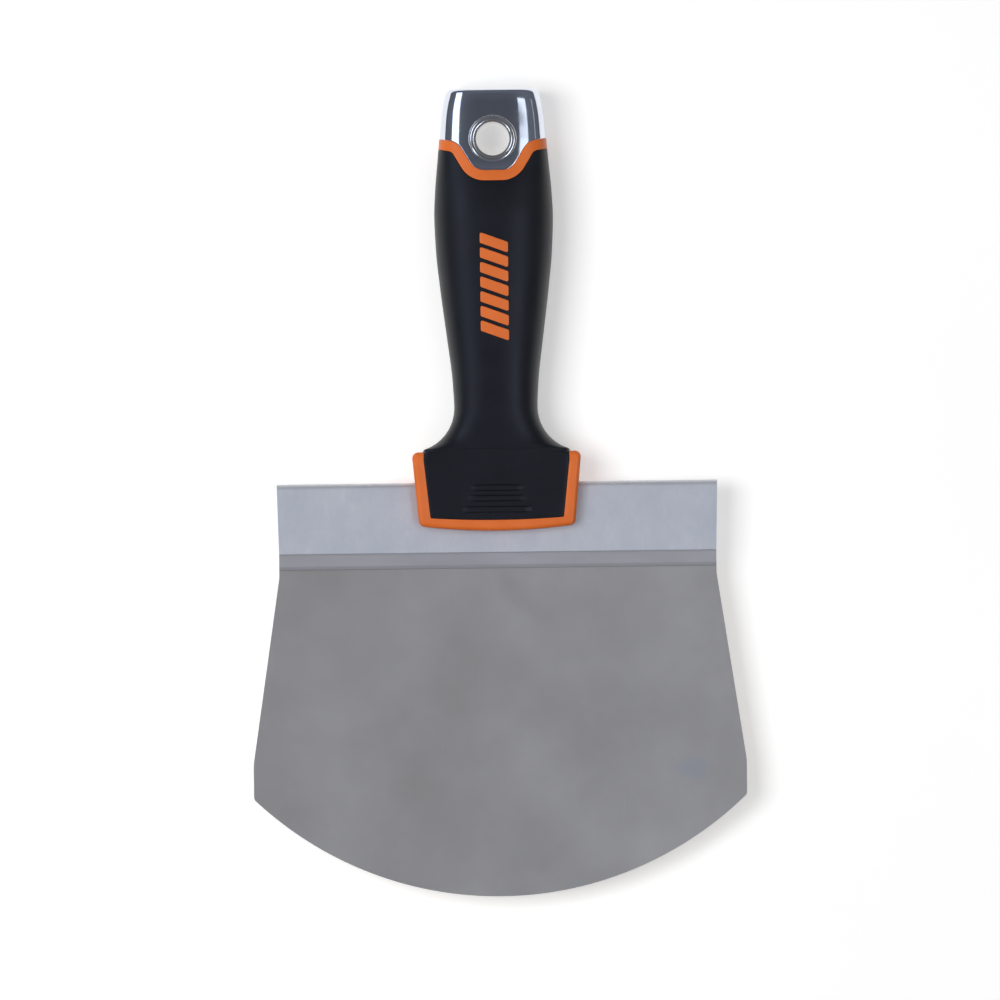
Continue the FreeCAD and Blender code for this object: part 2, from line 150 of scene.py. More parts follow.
# ---- marks on the grip's front
MARKS = 7
MARK_PITCH = 4.45
MARK_W = 3.3
MARK_HALF_W = 4.3
MARK_SLANT = math.radians(20.0)
MARK_CORNER_R = 0.5
MARK_LEAST_R = 0.2
MARK_MIDDLE = 185.4
MARK_RISE = 0.12
MARK_CREASE = 50  # degrees
MARK_EDGE = [(0.0, -1.5), (0.0, 0.0), (0.04, MARK_RISE * 0.7), (0.15, MARK_RISE)]  # (inset, rise)
MARK_TOP = (0.9, 0.7, 0.45, 0.2)  # sizes of the rings that close its top

# ---- eyelet and cap
EYE_AT = 230.3
EYE_BORE_R = 5.05
EYE_TUBE_R = 5.7
EYE_RIM_R = 7.4
EYE_RIM_H = 1.0
EYE_CREASE = 60  # degrees
EYE_SEAT = CAP_HALF_T - 0.25
# (radius, height) under the rolled rim, back in to the tube
EYE_UNDER = [(EYE_RIM_R - 0.1, EYE_SEAT - 0.25), (EYE_TUBE_R, EYE_SEAT - 0.3)]
CAP_EDGE_R = 1.2
CAP_RIM_R = 0.12
CAP_CREASE = 50  # degrees
CAP_TOP = (0.8, 0.55, 0.3, 0.12)  # sizes of the rings that close its end
DRILL_REACH = 20.0

# ---- blade, leaf and holder
BLADE_W = 150.0
BLADE_T = 0.4
EDGE_R = 108.0  # of the working edge
CORNER_R = 1.8
FLARE = 40.9  # the sides are straight and upright up to here
FLARE_R = 18.0
NECK = 97.7  # and lean in up to here
NECK_R = 6.0
BLADE_TOP = 123.0
BLADE_TOP_R = 0.5
BLADE_SOFT = 0.06  # width of the softened edges
SLICES = (1.0, 104.0, 1.5)  # cuts across the blade, so that it can bend: first, last and spacing
LEAF_T = 0.6
LEAF_END = 99.9
LEAF_SOFT = 0.09
HOLDER_LOW = 104.7
HOLDER_HIGH = 126.0
HOLDER_T = 4.0
HOLDER_TOP_W = 134.0
HOLDER_LOW_W = 133.0
HOLDER_LIP_R = 0.15
HOLDER_BACK_R = 1.9
HOLDER_SOFT = 0.12
SLIT_PLAY = 0.02  # between the blade and each side of the slit
SLIT_T = LEAF_T + BLADE_T + 2 * SLIT_PLAY
SLIT_R = 0.1
SLIT_PAST = 0.3  # the slit runs this far past the blade
NOTCH_HALF_W = 14.0
NOTCH_LOW = 114.0
RIVET_ROW = 119.5
RIVET_X = 18.0
RIVET_HOLE_R = 1.6
PLATE_RIM = 60  # degrees, above which an edge of a plate is softened
PLATE_CREASE = 12  # degrees, above which it is shaded as sharp

# ---- materials
NOISE_SPAN = (0.3, 0.7)  # nearly all of a noise lies in this range
TINT_SKY = (0.76, 0.88, 1.15)

# ---- lights: (name, place in metres, width along the knife, height up and over it, radiance, use, colour)
LIGHTS = [
    ("key", (-0.75, 0.10, 1.50), 0.7, 0.9, 7.9, "lamp", (1, 1, 1)),
    ("fill", (0.0, 0.0, 2.0), 3.0, 3.0, 0.85, "lamp", (1, 1, 1)),
    ("left_card", (-1.33, 0.62, 1.67), 1.24, 0.80, 1.8, "card", TINT_SKY),
    ("shoulder_card", (-1.35, -0.80, 1.50), 0.70, 0.60, 3.0, "card", TINT_SKY),
    ("cap_card", (0.70, 0.31, 1.60), 0.28, 0.50, 1.1, "card", (0.90, 0.96, 1.05)),
    ("right_card", (0.89, -0.53, 1.68), 1.30, 0.36, 3.2, "card", (0.80, 0.91, 1.12)),
    ("thin_card", (1.70, 0.36, 1.06), 0.40, 0.05, 0.9, "card", (1, 1, 1)),
]
ROOM = [(0.0, 0.10), (0.16, 0.12), (0.5, 0.13), (0.80, 0.14), (0.93, 0.12), (1.0, 0.085)]  # (up, brightness)
ROOM_TINT = (0.92, 1.0, 1.2)
ROOM_SEEN = 0.95  # brightness where the camera sees it
FLOOR_SIZE = 8.0
FLOOR_GLOW = 0.42

# ---- camera, in metres
CAMERA_AT = (0.0009, -0.0022, 6.0)
CAMERA_TURN = math.radians(-0.7)
VIEW_WIDTH = 0.3041  # across the picture, at the height of the knife's middle
SENSOR = 36.0  # in mm
CLIP_END = 50.0


# ================================================================ mesh helpers


def to_frame(points):
    """Points as (x, place along the knife, height over the middle plane) in mm, in the frame in metres."""
    p = np.asarray(points, float)
    return (p + np.array([0.0, TIP, Z_MID])) * MM


def piece(name, points, faces, material, body, slot, stands_for, sharp=None):
    """A mesh object from points in mm, with its material and body, which hides the CAD nodes it stands for.
    The slot argument is not used.
    """
    mesh = bpy.data.meshes.new(name)
    mesh.from_pydata(to_frame(points).tolist(), [], faces)
    mesh.validate()
    obj = bpy.data.objects.new(name, mesh)
    bpy.context.scene.collection.objects.link(obj)
    finish_mesh(obj, sharp)
    mesh.materials.append(material)
    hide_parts(*stands_for)
    if body:
        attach(obj, body)
    return obj


def finish_mesh(obj, sharp):
    """Outward normals and smooth shading, broken at edges sharper than the given angle."""
    bm = bmesh.new()
    bm.from_mesh(obj.data)
    bmesh.ops.recalc_face_normals(bm, faces=bm.faces)
    for face in bm.faces:
        face.smooth = True
    bm.to_mesh(obj.data)
    bm.free()
    if sharp is not None:
        obj.data.set_sharp_from_angle(angle=math.radians(sharp))


def skin_rings(rings, join_ends=False):
    """Points and faces of a tube through rings of equal count, closed by end fans or joined in a loop."""
    count = len(rings[0])
    points = [p for row in rings for p in row]
    faces = []
    for r in range(len(rings) if join_ends else len(rings) - 1):
        a, b = r * count, (r + 1) % len(rings) * count
        for c in range(count):
            d = (c + 1) % count
            faces.append((a + c, a + d, b + d, b + c))
    if not join_ends:
        for start in (0, (len(rings) - 1) * count):
            centre = len(points)
            points.append(np.mean(points[start:start + count], axis=0))
            faces += [(start + c, start + (c + 1) % count, centre) for c in range(count)]
    return np.array(points), faces


def arc_points(cx, cy, radius, start, end, count):
    """Points on an arc, angles in degrees."""
    turns = np.radians(np.linspace(start, end, count))
    return [(cx + radius * math.cos(t), cy + radius * math.sin(t)) for t in turns]


def rounded(corners, steps=8):
    """A closed outline through (x, y, radius) corners, each rounded by an arc that meets both its sides."""
    out = []
    for n, (x, y, radius) in enumerate(corners):
        here = np.array([x, y])
        before = np.array(corners[n - 1][:2]) - here
        after = np.array(corners[(n + 1) % len(corners)][:2]) - here
        before /= np.linalg.norm(before)
        after /= np.linalg.norm(after)
        half = math.acos(np.clip(before @ after, -1, 1)) / 2
        if radius <= 0:
            out.append(tuple(here))
            continue
        reach = radius / math.tan(half)
        middle = before + after
        centre = here + middle / np.linalg.norm(middle) * radius / math.sin(half)
        first, last = here + before * reach, here + after * reach
        a = math.atan2(*(first - centre)[::-1])
        turn = math.remainder(math.atan2(*(last - centre)[::-1]) - a, 2 * math.pi)
        for s in range(steps + 1):
            t = a + turn * s / steps
            out.append((centre[0] + radius * math.cos(t), centre[1] + radius * math.sin(t)))
    return out


def densify(outline, parts):
    """The outline with each of its longer sides cut into equal parts."""
    sides = list(zip(outline, outline[1:] + outline[:1]))
    longest = max(math.dist(a, b) for a, b in sides)
    out = []
    for a, b in sides:
        out.append(a)
        if math.dist(a, b) > longest / 4:
            for n in range(1, parts):
                out.append((a[0] + (b[0] - a[0]) * n / parts, a[1] + (b[1] - a[1]) * n / parts))
    return out


# ================================================================ the handle's outer form


def smooth_curve(places, values, at):
    """A shape-keeping cubic through the values, read at the given places."""
    x, y = np.array(places, float), np.array(values, float)
    h, slope = np.diff(x), np.diff(y) / np.diff(x)
    tangent = np.zeros(len(x))
    for n in range(1, len(x) - 1):
        if slope[n - 1] * slope[n] > 0:
            w1, w2 = 2 * h[n] + h[n - 1], h[n] + 2 * h[n - 1]
            tangent[n] = (w1 + w2) / (w1 / slope[n - 1] + w2 / slope[n])
    tangent[-1] = slope[-1]
    at = np.asarray(at, float)
    n = np.clip(np.searchsorted(x, at) - 1, 0, len(h) - 1)
    t = (at - x[n]) / h[n]
    return (
        y[n] * (1 + 2 * t) * (1 - t) ** 2
        + tangent[n] * h[n] * t * (1 - t) ** 2
        + y[n + 1] * t * t * (3 - 2 * t)
        + tangent[n + 1] * h[n] * t * t * (t - 1)
    )


def handle_row(place):
    """Half width, half thickness and squareness of the handle above the shoulders."""
    rows = SECTIONS[::-1]
    places, *measures = zip(*rows)
    return tuple(float(smooth_curve(places, values, place)) for values in measures)


def ring(half_w, half_t, square, fine=1500):
    """A superellipse as COLUMNS points and their outward normals, closer together where it turns."""
    turn = np.linspace(0, math.pi / 2, fine)
    c, s = np.cos(turn), np.sin(turn)
    reach = (c**square + s**square) ** (-1 / square)
    x, z = half_w * c * reach, half_t * s * reach
    step = np.hypot(np.diff(x), np.diff(z))
    angle = np.unwrap(np.arctan2(np.diff(z), np.diff(x)))
    bend = np.abs(np.diff(angle, append=angle[-1]))
    weight = np.concatenate([[0], np.cumsum(step / step.sum() + bend / max(bend.sum(), 1e-9))])
    quarter = COLUMNS // 4
    share = np.linspace(0, weight[-1], quarter + 1)
    x, z = np.interp(share, weight, x), np.interp(share, weight, z)
    x[-1], z[0] = 0.0, 0.0
    half = np.concatenate([np.stack([x, z], 1), np.stack([-x, z], 1)[-2::-1]])
    full = np.concatenate([half, (half * [1, -1])[-2:0:-1]])
    power = np.sign(full) * np.abs(full / [half_w, half_t]) ** (square - 1) / [half_w, half_t]
    return full, power / np.linalg.norm(power, axis=1)[:, None]


def flat_ring(place, half_w, half_t, square):
    """A superellipse section square to the knife."""
    section = ring(half_w, half_t, square)[0]
    return np.stack([section[:, 0], np.full(COLUMNS, place), section[:, 1]], 1)


class Envelope:
    """The rings of a stretch of the handle, so that a column can be followed to any place along it."""

    def __init__(self, low, high, row_at, spacing=0.25):
        self.places = np.linspace(low, high, int((high - low) / spacing) + 1)
        both = [ring(*row_at(place)) for place in self.places]
        self.points = np.array([b[0] for b in both])
        self.normals = np.array([b[1] for b in both])

    def at(self, places, inset=0.0):
        """One point for each column, at its own place, drawn in by inset."""
        places = np.broadcast_to(np.asarray(places, float), (COLUMNS,))
        n = np.clip(np.searchsorted(self.places, places) - 1, 0, len(self.places) - 2)
        t = ((places - self.places[n]) / (self.places[n + 1] - self.places[n]))[:, None]
        c = np.arange(COLUMNS)
        flat = self.points[n, c] * (1 - t) + self.points[n + 1, c] * t
        out = self.normals[n, c] * (1 - t) + self.normals[n + 1, c] * t
        flat = flat - out * inset
        return np.stack([flat[:, 0], places, flat[:, 1]], 1)

    def on_curve(self, curve, rounds=30):
        """Each column's place on a curve given as place(x)."""
        places = np.full(COLUMNS, float(self.places.mean()))
        for _ in range(rounds):
            places = 0.5 * places + 0.5 * curve(np.abs(self.at(places)[:, 0]))
        return places


def upper_handle():
    """The handle from above its waist to its end."""
    return Envelope(UPPER_FROM, LENGTH, handle_row)


def wave(drop):
    """The wave as a function of x, moved towards the blade square to itself by drop."""
    r_in, r_out = WAVE_R_IN + drop, WAVE_R_OUT - drop
    low = WAVE_LOW - drop
    x1 = WAVE_FLAT + r_in * math.sin(WAVE_ANGLE)
    y1 = low + r_in * (1 - math.cos(WAVE_ANGLE))
    x2, y2 = x1 + WAVE_RUN * math.cos(WAVE_ANGLE), y1 + WAVE_RUN * math.sin(WAVE_ANGLE)
    cx, cy = x2 + r_out * math.sin(WAVE_ANGLE), y2 - r_out * math.cos(WAVE_ANGLE)
    x3, y3 = cx - r_out * math.sin(WAVE_END_ANGLE), cy + r_out * math.cos(WAVE_END_ANGLE)

    def place(x):
        inner = low + r_in - np.sqrt(np.maximum(r_in**2 - (x - WAVE_FLAT) ** 2, 0))
        outer = cy + np.sqrt(np.maximum(r_out**2 - (x - cx) ** 2, 0))
        choices = [np.full_like(x, low), inner, y1 + (x - x1) * math.tan(WAVE_ANGLE), outer]
        past = y3 + (x - x3) * math.tan(WAVE_END_ANGLE)
        return np.select([x <= WAVE_FLAT, x <= x1, x <= x2, x <= x3], choices, past)

    return place


def edge_rounding(radius, steps=3):
    """(distance from the edge, inset) down a quarter round, from the surface to the edge."""
    turns = [math.pi / 2 * s / steps for s in range(steps + 1)]
    return [(radius * (1 - math.sin(t)), radius * (1 - math.cos(t))) for t in turns]


# ================================================================ grip


def panel_half_t(place):
    """The panel's half thickness, a little more than the collar's."""
    low, high = COLLAR_LOW - PANEL_FADE_LOW, COLLAR_TOP + PANEL_FADE_HIGH
    thin = COLLAR_LOW_HALF_T + PANEL_PROUD
    return thin + (SHOULDER_HALF_T - thin) * (place - low) / (high - low)


def panel_half_w(place):
    """The panel's half width, which grows evenly towards its top."""
    share = (place - PANEL_LOW) / (COLLAR_TOP - PANEL_LOW)
    return PANEL_LOW_HALF_W + (PANEL_TOP_HALF_W - PANEL_LOW_HALF_W) * share


def shoulder_rows():
    """Rows (place, half width, half thickness, squareness) round the shoulder's arc and its outer corner."""
    neck, half_w, half_t, square = SECTIONS[-1]
    last = math.acos(1 - (PANEL_TOP_HALF_W - half_w - SHOULDER_GAP) / SHOULDER_ARC_R)
    rows = []
    for turn in np.linspace(0, last, 40)[1:]:
        share = turn / last
        ease = SHOULDER_EVEN * share + (1 - SHOULDER_EVEN) * share**SHOULDER_LATE
        rows.append((
            neck - SHOULDER_ARC_R * math.sin(turn),
            half_w + SHOULDER_ARC_R * (1 - math.cos(turn)),
            half_t + (SHOULDER_HALF_T - half_t) * math.sin(turn) / math.sin(last),
            square + (SHOULDER_SQUARE - square) * ease,
        ))
    place, width = rows[-1][:2]
    step = SHOULDER_HALF_T - panel_half_t(place)
    middle = place - SHOULDER_CORNER_R * math.sin(last)
    out = width - SHOULDER_CORNER_R * math.cos(last)
    for turn in np.linspace(last, SHOULDER_CORNER_END, 9)[1:]:
        share = (turn - last) / (SHOULDER_CORNER_END - last)
        here = middle + SHOULDER_CORNER_R * math.sin(turn)
        rows.append((
            here,
            out - SHOULDER_CORNER_R * math.cos(turn),
            panel_half_t(here) + step * (1 - share),
            SHOULDER_SQUARE,
        ))
    return rows


def rib_height(x, place):
    """How far the panel is raised by its ribs."""
    total = np.zeros_like(x)
    for at, half_w in RIBS:
        across = np.abs(place - at)
        past = np.maximum(np.abs(x) - (half_w - RIB_W / 2), 0)
        off = np.hypot(across, past) / (RIB_W / 2)
        crown = np.clip(RIB_FLAT * (1 - off**RIB_POWER), 0, 1)
        total = np.maximum(total, RIB_H * crown * (off < 1))
    return total


def upper_rings():
    """The grip from its rim under the orange band down to where its rings lie square to the knife."""
    upper = upper_handle()
    edge = upper.on_curve(wave(BAND))
    rings = [upper.at(edge, TUCK)]
    for back, inset in edge_rounding(GRIP_RIM_R)[::-1]:
        rings.append(upper.at(edge - back, inset))
    for share in np.linspace(0, 1, 30)[1:]:
        rings.append(upper.at((edge - GRIP_RIM_R) * (1 - share) + SQUARE_ON * share))
    return rings


def panel_rings(top):
    """The flat panel that lies in the collar, with its ribs, down to its rim."""

    def panel_row(place):
        share = np.clip((top - place) / PANEL_SQUARED_IN, 0, 1)
        square = SHOULDER_SQUARE + (PANEL_SQUARE - SHOULDER_SQUARE) * share
        return panel_half_w(place), panel_half_t(place), square

    def bowed(x):
        return PANEL_LOW - PANEL_SAG * (1 - np.minimum(x / PANEL_LOW_HALF_W, 1) ** 2)

    panel = Envelope(PANEL_LOW - TUCK, top, panel_row)
    edge = panel.on_curve(bowed)
    rings = []
    for share in np.linspace(0, 1, PANEL_ROWS):
        row = panel.at(top * (1 - share) + (edge + PANEL_EDGE_R) * share)
        lift = rib_height(row[:, 0], row[:, 1]) * (np.abs(row[:, 2]) > RIB_FACE)
        row[:, 2] += np.sign(row[:, 2]) * lift
        rings.append(row)
    for back, inset in edge_rounding(PANEL_EDGE_R)[1:]:
        rings.append(panel.at(edge + back, inset))
    return rings + [panel.at(edge, TUCK)]


def build_grip(material):
    """The soft skin, from the orange band over neck and shoulders to the panel's lower rim."""
    waist = np.linspace(SQUARE_ON, SECTIONS[-1][0], 90)[1:]
    shoulders = shoulder_rows()
    rings = upper_rings()
    rings += [flat_ring(place, *handle_row(place)) for place in waist]
    rings += [flat_ring(*row) for row in shoulders]
    rings += panel_rings(shoulders[-1][0] - PANEL_START)
    points, faces = skin_rings(rings)
    return piece("soft_grip", points, faces, material, "handle", "black_rubber", ["grip"])


# ================================================================ orange collar and core


def build_band(material):
    """The band between the grip and the cap."""
    upper = upper_handle()
    low, high = upper.on_curve(wave(BAND)), upper.on_curve(wave(0))
    rounding = edge_rounding(BAND_RIM_R)
    rings = [upper.at(low, BAND_TUCK)]
    rings += [upper.at(low + back, inset) for back, inset in rounding[::-1]]
    for share in np.linspace(0, 1, 8)[1:-1]:
        rings.append(upper.at((low + BAND_RIM_R) * (1 - share) + (high - BAND_RIM_R) * share))
    rings += [upper.at(high - back, inset) for back, inset in rounding]
    rings.append(upper.at(high, BAND_TUCK))
    points, faces = skin_rings(rings, join_ends=True)
    return piece("core_band", points, faces, material, "handle", "orange_plastic", ["handle_core"])


def collar_outline(inset):
    """The collar's front outline drawn in by inset, always with the same number of points."""
    rise = COLLAR_TOP - COLLAR_LOW
    lean = (COLLAR_TOP_HALF_W - COLLAR_LOW_HALF_W) / rise
    low, high = COLLAR_LOW + inset, COLLAR_TOP - inset
    side = inset * math.hypot(1, lean)
    low_w = COLLAR_LOW_HALF_W + lean * inset - side
    high_w = COLLAR_TOP_HALF_W - lean * inset - side
    radius = max(COLLAR_CORNER_R - inset, COLLAR_LEAST_R)
    corners = [(-low_w, low), (low_w, low), (high_w, high), (-high_w, high)]
    outline = rounded([(x, y, radius) for x, y in corners])
    per_corner = len(outline) // len(corners)
    full = []
    for n in range(0, len(outline), per_corner):
        full += outline[n:n + per_corner]
        a, b = full[-1], outline[(n + per_corner) % len(outline)]
        sides = np.linspace(a, b, COLLAR_SIDE_POINTS + 1)[1:-1]
        full += [tuple(point) for point in sides]
    bowed = []
    for x, y in full:
        near = np.clip((high - y) / (high - low), 0, 1) ** COLLAR_SAG_FADE
        bow = COLLAR_SAG * near * max(1 - (x / low_w) ** 2, 0)
        bowed.append((x, y - bow))
    return np.array(bowed)


def collar_half_t(place):
    """The collar's half thickness, which grows evenly towards its top."""
    share = (place - COLLAR_LOW) / (COLLAR_TOP - COLLAR_LOW)
    return COLLAR_LOW_HALF_T + (COLLAR_TOP_HALF_T - COLLAR_LOW_HALF_T) * share


def build_collar(material):
    """The collar: a block with rounded rims, its faces let in under the soft panel."""
    profile = COLLAR_LIP + edge_rounding(COLLAR_EDGE_R, 6)
    rings = []
    for side in (1, -1):
        half = []
        for inset, depth in profile:
            flat = collar_outline(inset)
            height = side * (collar_half_t(flat[:, 1]) - depth)
            half.append(np.stack([flat[:, 0], flat[:, 1], height], 1))
        rings += half if side > 0 else half[::-1]
    points, faces = skin_rings(rings)
    return piece("core_collar", points, faces, material, "handle", "orange_plastic", ["collar"])


def grip_height(x, place):
    """How far the front of the grip stands over the middle plane."""
    half_w, half_t, square = handle_row(place)
    return half_t * (1 - abs(x / half_w) ** square) ** (1 / square)


def mark_outline(inset):
    """One slanted bar with rounded corners, centred on the origin and drawn in by inset."""
    half_w, half = MARK_HALF_W - inset, MARK_W / 2 - inset / math.cos(MARK_SLANT)
    drop, radius = half_w * math.tan(MARK_SLANT), max(MARK_CORNER_R - inset, MARK_LEAST_R)
    corners = [(-half_w, drop - half), (half_w, -drop - half), (half_w, half - drop), (-half_w, half + drop)]
    return np.array(densify(rounded([(x, y, radius) for x, y in corners], 5), 12))


def build_marks(material):
    """A row of slanted bars that follow the grip's front."""
    points, faces = [], []
    edge = [(mark_outline(inset), rise) for inset, rise in MARK_EDGE]
    edge += [(edge[-1][0] * share, MARK_RISE) for share in MARK_TOP]
    for n in range(MARKS):
        centre = MARK_MIDDLE + (n - (MARKS - 1) / 2) * MARK_PITCH
        rows = []
        for outline, rise in edge:
            rows.append([(x, centre + y, grip_height(x, centre + y) + rise) for x, y in outline])
        row_points, row_faces = skin_rings(rows)
        faces += [tuple(len(points) + i for i in face) for face in row_faces]
        points += [tuple(p) for p in row_points]
    stands_for = ["handle_core"]
    return piece("core_marks", points, faces, material, "handle", "orange_plastic", stands_for, MARK_CREASE)


# ================================================================ cap and eyelet


def build_cap(material):
    """The closed cap with a rounded end, drilled for the eyelet."""
    upper = upper_handle()
    low = upper.on_curve(wave(0))
    top = LENGTH - CAP_EDGE_R
    rings = [upper.at(low, TUCK)]
    rings += [upper.at(low + back, inset) for back, inset in edge_rounding(CAP_RIM_R)[::-1]]
    for share in np.linspace(0, 1, 60)[1:]:
        rings.append(upper.at((low + CAP_RIM_R) * (1 - share) + top * share))
    for turn in np.linspace(0, math.pi / 2, 9)[1:]:
        rings.append(upper.at(top + CAP_EDGE_R * math.sin(turn), CAP_EDGE_R * (1 - math.cos(turn))))
    rings += [rings[-1] * [share, 1, share] for share in CAP_TOP]
    points, faces = skin_rings(rings)
    cap = piece("cap_shell", points, faces, material, None, "cap_chrome", ["end_cap"])
    drill = lathe_points([(EYE_TUBE_R, -DRILL_REACH), (EYE_TUBE_R, DRILL_REACH)], 96)
    cutter = piece("cap_drill", *skin_rings(drill), material, None, "cap_chrome", [])
    cut = cap.modifiers.new("eye", "BOOLEAN")
    cut.operation, cut.object, cut.solver = "DIFFERENCE", cutter, "EXACT"
    apply_modifiers(cap)
    bpy.data.objects.remove(cutter)
    cap.data.set_sharp_from_angle(angle=math.radians(CAP_CREASE))
    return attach(cap, "handle")


def apply_modifiers(obj):
    bpy.context.view_layer.update()
    result = obj.evaluated_get(bpy.context.evaluated_depsgraph_get())
    made = bpy.data.meshes.new_from_object(result)
    obj.modifiers.clear()
    obj.data = made


def lathe_points(profile, count):
    """Rings round the eyelet's axis through (radius, height) points."""
    turns = np.linspace(0, 2 * math.pi, count, endpoint=False)
    rings = []
    for radius, height in profile:
        x, y = radius * np.cos(turns), EYE_AT + radius * np.sin(turns)
        rings.append(np.stack([x, y, np.full(count, height)], 1))
    return rings


def build_eyelet(material):
    """A thin tube whose ends roll outwards over the cap."""
    crest, wide = (EYE_BORE_R + EYE_RIM_R) / 2, (EYE_RIM_R - EYE_BORE_R) / 2
    roll = []
    for turn in np.linspace(math.pi, 0, 15):
        roll.append((crest + wide * math.cos(turn), EYE_SEAT + EYE_RIM_H * math.sin(turn)))
    inner = [(EYE_BORE_R, h) for h in np.linspace(0, EYE_SEAT, 8)[:-1]]
    half = inner + roll + EYE_UNDER
    profile = half + [(r, -h) for r, h in half[:0:-1]]
    points, faces = skin_rings(lathe_points(profile, 128), join_ends=True)
    return piece("eyelet_ring", points, faces, material, "handle", "eyelet_chrome", ["eyelet"], EYE_CREASE)


# ================================================================ blade, leaf and holder


def blade_outline():
    """The working edge's arc, its corners, the flared sides and the notch for the tang's foot."""
    half, neck = BLADE_W / 2, HOLDER_LOW_W / 2
    corner = EDGE_R - math.sqrt(EDGE_R**2 - half**2)
    sweep = math.degrees(math.asin((half - CORNER_R) / (EDGE_R - CORNER_R)))
    edge = arc_points(0, EDGE_R, EDGE_R, 270 - sweep, 270 + sweep, 121)
    cx = half - CORNER_R
    cy = EDGE_R - math.sqrt((EDGE_R - CORNER_R) ** 2 - cx**2)
    right = arc_points(cx, cy, CORNER_R, 270 + sweep, 360, 9)[1:]
    side = [
        (half, corner, 0),
        (half, FLARE, FLARE_R),
        (neck, NECK, NECK_R),
        (neck, BLADE_TOP, BLADE_TOP_R),
        (NOTCH_HALF_W, BLADE_TOP, 0),
        (NOTCH_HALF_W, NOTCH_LOW, 0),
        (0, NOTCH_LOW, 0),
    ]
    right += rounded(side, 12)[1:-1]
    left = [(-x, y) for x, y in right[::-1]]
    return edge + right + left


def thicken(bm, faces, by):
    """Turns flat faces into a solid by moving a copy of them."""
    grown = bmesh.ops.extrude_face_region(bm, geom=faces)
    moved = [v for v in grown["geom"] if isinstance(v, bmesh.types.BMVert)]
    bmesh.ops.translate(bm, verts=moved, vec=by)


def soften(bm, edges, width):
    """Rounds edges off to about this width."""
    bmesh.ops.bevel(bm, geom=edges, offset=width, segments=2, affect="EDGES", profile=0.5)


def plate(outline, holes, low, high, soft):
    """A thin plate with holes and softened edges, as a bmesh in mm."""
    bm = bmesh.new()
    edges = []
    for loop in [outline] + holes:
        verts = [bm.verts.new((x, y, low)) for x, y in loop]
        edges += [bm.edges.new((a, b)) for a, b in zip(verts, verts[1:] + verts[:1])]
    bmesh.ops.triangle_fill(bm, edges=edges, use_beauty=True)
    bmesh.ops.recalc_face_normals(bm, faces=bm.faces)
    thicken(bm, bm.faces[:], (0, 0, high - low))
    bmesh.ops.recalc_face_normals(bm, faces=bm.faces)
    solid_edges = [e for e in bm.edges if len(e.link_faces) == 2]
    soften(bm, [e for e in solid_edges if e.calc_face_angle() > math.radians(PLATE_RIM)], soft)
    return bm


def slice_along(bm, low, high, spacing):
    """Cuts a plate square to the knife's length."""
    for place in np.arange(low, high, spacing):
        geom = bm.verts[:] + bm.edges[:] + bm.faces[:]
        bmesh.ops.bisect_plane(bm, geom=geom, plane_co=(0, place, 0), plane_no=(0, 1, 0))


def from_bmesh(name, bm, material, body, slot, stands_for):
    """A piece made from a bmesh in mm."""
    bmesh.ops.remove_doubles(bm, verts=bm.verts, dist=1e-5)
    points = [tuple(v.co) for v in bm.verts]
    bm.verts.index_update()
    faces = [tuple(v.index for v in f.verts) for f in bm.faces]
    bm.free()
    return piece(name, points, faces, material, body, slot, stands_for, PLATE_CREASE)


def flat_uv(obj):
    """A UV map of the place on the plate in metres, so that a pattern stays put when the plate bends."""
    layer = obj.data.uv_layers.new(name="flat")
    for loop in obj.data.loops:
        co = obj.data.vertices[loop.vertex_index].co
        layer.data[loop.index].uv = (co.x, co.y)


def rivet_holes():
    """The two holes for the rivets that clamp blade and leaf."""
    return [arc_points(x, RIVET_ROW, RIVET_HOLE_R, 0, 345, 24) for x in (-RIVET_X, RIVET_X)]


def build_blade(material):
    """The blade, cut across into strips along its length; the real one bends from the leaf's edge."""
    low = -SLIT_T / 2 + SLIT_PLAY
    bm = plate(blade_outline(), rivet_holes(), low, low + BLADE_T, BLADE_SOFT)
    slice_along(bm, *SLICES)
    blade = from_bmesh("flex_blade", bm, material, None, "spring_steel", ["blade"])
    flat_uv(blade)
    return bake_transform(blade)


def build_leaf(material):
    """The short leaf in front of the blade."""
    half = HOLDER_LOW_W / 2
    right = [(half, LEAF_END), (half, BLADE_TOP), (NOTCH_HALF_W, BLADE_TOP), (NOTCH_HALF_W, NOTCH_LOW)]
    left = [(-x, y) for x, y in right[::-1]]
    outline = left[-1:] + right + left[:-1]
    bm = plate(outline, rivet_holes(), SLIT_T / 2 - LEAF_T, SLIT_T / 2, LEAF_SOFT)
    leaf = from_bmesh("front_leaf", bm, material, "handle", "leaf_steel", ["stiffener_leaf"])
    flat_uv(leaf)
    return leaf


def build_holder(material):
    """The holder's bar, drawn as its end view and run from side to side, with softened ends."""
    half_t, slit, slit_end = HOLDER_T / 2, SLIT_T / 2, BLADE_TOP + SLIT_PAST
    front = [
        (HOLDER_LOW, slit, SLIT_R),
        (HOLDER_LOW, half_t, HOLDER_LIP_R),
        (HOLDER_HIGH, half_t, HOLDER_BACK_R),
    ]
    back = [(y, -z, radius) for y, z, radius in front[::-1]]
    slit_ends = [(slit_end, -slit, SLIT_R), (slit_end, slit, SLIT_R)]
    bm = bmesh.new()
    verts = [bm.verts.new((-1, y, z)) for y, z in rounded(front + back + slit_ends, 10)]
    thicken(bm, [bm.faces.new(verts)], (2, 0, 0))
    for v in bm.verts:
        share = (v.co.y - HOLDER_LOW) / (HOLDER_HIGH - HOLDER_LOW)
        v.co.x *= HOLDER_LOW_W / 2 + (HOLDER_TOP_W - HOLDER_LOW_W) / 2 * share
    bmesh.ops.recalc_face_normals(bm, faces=bm.faces)
    ends = [f for f in bm.faces if abs(f.normal.x) > 0.9]
    soften(bm, list({e for f in ends for e in f.edges}), HOLDER_SOFT)
    return from_bmesh("holder_bar", bm, material, "handle", "holder_aluminium", ["blade_holder"])


